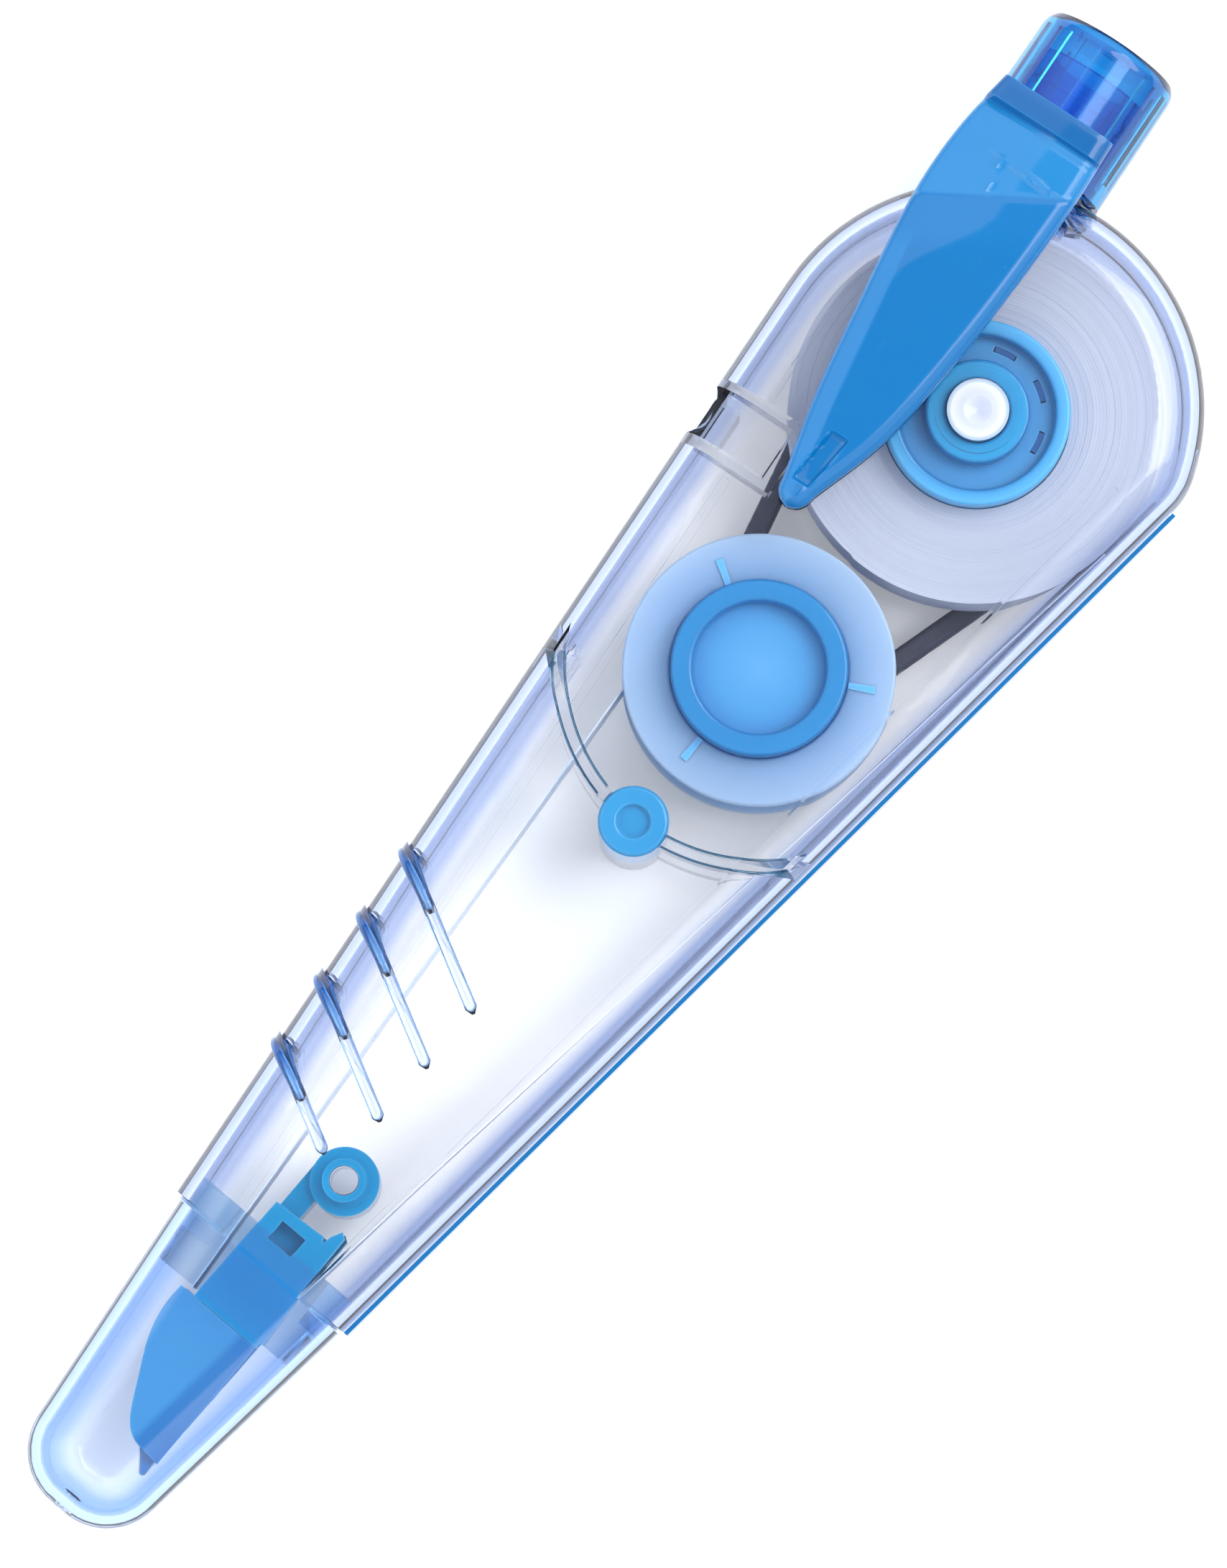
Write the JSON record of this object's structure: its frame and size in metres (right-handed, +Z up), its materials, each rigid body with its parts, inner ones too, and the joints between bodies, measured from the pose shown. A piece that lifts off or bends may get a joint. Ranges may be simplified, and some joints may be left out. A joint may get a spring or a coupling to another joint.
{
  "type": "correction tape roller",
  "caption": "Pen-shaped correction tape roller in a clear teardrop case, with belt-driven reels, a pivoting applicator head, a pull-off tip cap and an end cap with a pocket clip.",
  "frame": {"origin": "the point on the case's flat back face that lies under the supply reel's axis", "axes": "+X towards the nose, +Y towards the belly edge, +Z up through the front face, which carries the clip"},
  "size_m": [0.1276, 0.0317, 0.0166],
  "materials": {
    "clear_case": "polished clear, faintly blue, thicker looking at its edges",
    "clear_cap": "polished clear blue tint",
    "blue_rail": "gloss",
    "blue_pin": "gloss, a little translucent",
    "smoke_blue": "translucent gloss",
    "ice_blue": "translucent gloss",
    "white_pin": "gloss white",
    "belt_rubber": "matt black rubber",
    "tape": "matt, wound edge with fine layers",
    "liner": "silicone paper, half clear",
    "reel_blue": "satin gloss",
    "reel_white": "matt",
    "felt": "felt",
    "milky_disc": "milky satin",
    "head_blue": "gloss, a little translucent",
    "blade_blue": "gloss",
    "cap_blue": "deep translucent gloss",
    "clip_blue": "gloss"
  },
  "bodies": {
    "root": {"back_shell": "clear_case", "front_shell": "clear_case", "belly_strip": "blue_rail", "case_pin": "blue_pin", "neck_sleeve": "smoke_blue", "nose_collar": "ice_blue", "supply_axle": "white_pin", "drive_belt": "belt_rubber", "tape_feed_run": "tape", "tape_return_run": "liner"},
    "supply_reel": {"supply_core": "reel_blue", "tape_roll": "tape"},
    "pulley": {"drive_pulley": "reel_white", "clutch_washer": "felt"},
    "takeup_reel": {"takeup_core": "reel_blue", "takeup_front_flange": "milky_disc", "takeup_back_flange": "milky_disc", "takeup_liner": "liner"},
    "head": {"head_carrier": "head_blue", "applicator_blade": "blade_blue", "tape_tip_loop": "tape"},
    "cap": {"tip_cap": "clear_cap"},
    "end": {"end_cap": "cap_blue"},
    "clip": {"pocket_clip": "clip_blue"}
  },
  "joints": [
    {"name": "supply_spin", "type": "hinge", "parent": "root", "child": "supply_reel", "pos_m": [0, 0, 0.007], "axis": [0, 0, 1], "continuous": true},
    {"name": "pulley_spin", "type": "hinge", "parent": "root", "child": "pulley", "pos_m": [0, 0, 0.0025], "axis": [0, 0, 1], "continuous": true},
    {"name": "takeup_spin", "type": "hinge", "parent": "root", "child": "takeup_reel", "pos_m": [0.02377, 0, 0.007], "axis": [0, 0, 1], "continuous": true},
    {"name": "head_pivot", "type": "hinge", "parent": "root", "child": "head", "pos_m": [0.07, 0.0011, 0.007], "axis": [0, 0, 1], "range_deg": [-2.5, 2.5], "stiffness_Nm_per_rad": 0.02},
    {"name": "cap_pull", "type": "slide", "parent": "root", "child": "cap", "axis": [1, 0, 0], "range_m": [0, 0.035]},
    {"name": "end_cap_pull", "type": "slide", "parent": "root", "child": "end", "axis": [-0.9936, -0.1132, 0], "range_m": [0, 0.014]},
    {"name": "clip_flex", "type": "hinge", "parent": "end", "child": "clip", "pos_m": [-0.01773, -0.00895, 0.0134], "axis": [0.1132, -0.9936, 0], "range_deg": [0, 5], "stiffness_Nm_per_rad": 0.3, "springref_deg": -1.15}
  ],
  "couplings": [
    {"joint": "pulley_spin", "follows": "supply_spin", "ratio": 1},
    {"joint": "takeup_spin", "follows": "supply_spin", "ratio": 2.3043}
  ]
}
